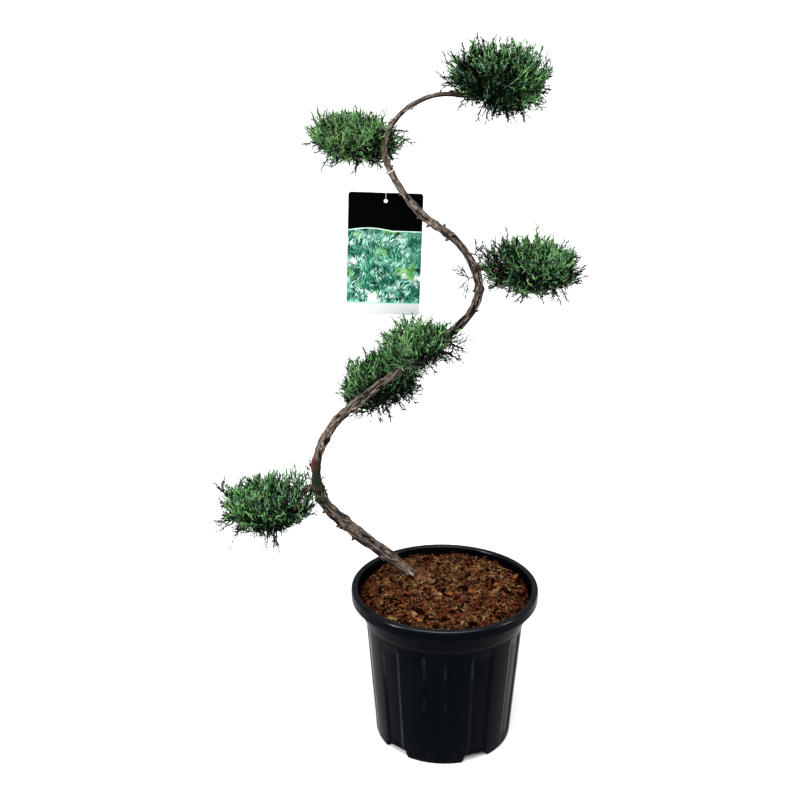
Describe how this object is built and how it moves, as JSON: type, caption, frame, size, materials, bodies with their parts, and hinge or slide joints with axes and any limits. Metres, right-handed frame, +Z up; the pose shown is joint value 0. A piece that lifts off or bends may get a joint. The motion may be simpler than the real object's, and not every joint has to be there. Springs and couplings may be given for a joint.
{
  "type": "potted juniper bonsai",
  "caption": "Tall potted juniper bonsai: a thin serpentine trunk with clipped foliage pads, in a fluted nursery pot, with a blank-worded hanging label.",
  "frame": {"origin": "centre of the pot's flat underside, on the pot's axis", "axes": "+Z up along the pot's axis; -Y towards the viewer of the picture; +X to the viewer's right"},
  "size_m": [0.5006, 0.2586, 0.9571],
  "materials": {
    "pot_plastic": "satin black moulded plastic",
    "potting_mix": "loose bark chips and coir fibre",
    "bark": "grey-brown stringy juniper bark",
    "foliage": "scale-leaved juniper sprays",
    "label_card": "printed glossy plastic card",
    "string": "thin white cord"
  },
  "bodies": {
    "plant": {"pot": "pot_plastic", "potting_mix": "potting_mix", "trunk_1_foot": "bark", "trunk_2_rise": "bark", "trunk_3_return": "bark", "trunk_4_leader": "bark", "bough_lower_left": "bark", "bough_right": "bark", "bough_upper_left": "bark", "foliage_lower_left": "foliage", "foliage_lower_middle": "foliage", "foliage_middle": "foliage", "foliage_right": "foliage", "foliage_upper_left": "foliage", "foliage_top": "foliage", "shoot_inner_bend": "foliage", "label_tie": "string"},
    "hanging_label": {"label": "label_card", "label_string": "string"}
  },
  "joints": [
    {"name": "label_swing", "type": "hinge", "parent": "plant", "child": "hanging_label", "pos_m": [-0.07882, 0.00432, 0.79612], "axis": [1, 0, 0], "range_deg": [0, 45]}
  ]
}
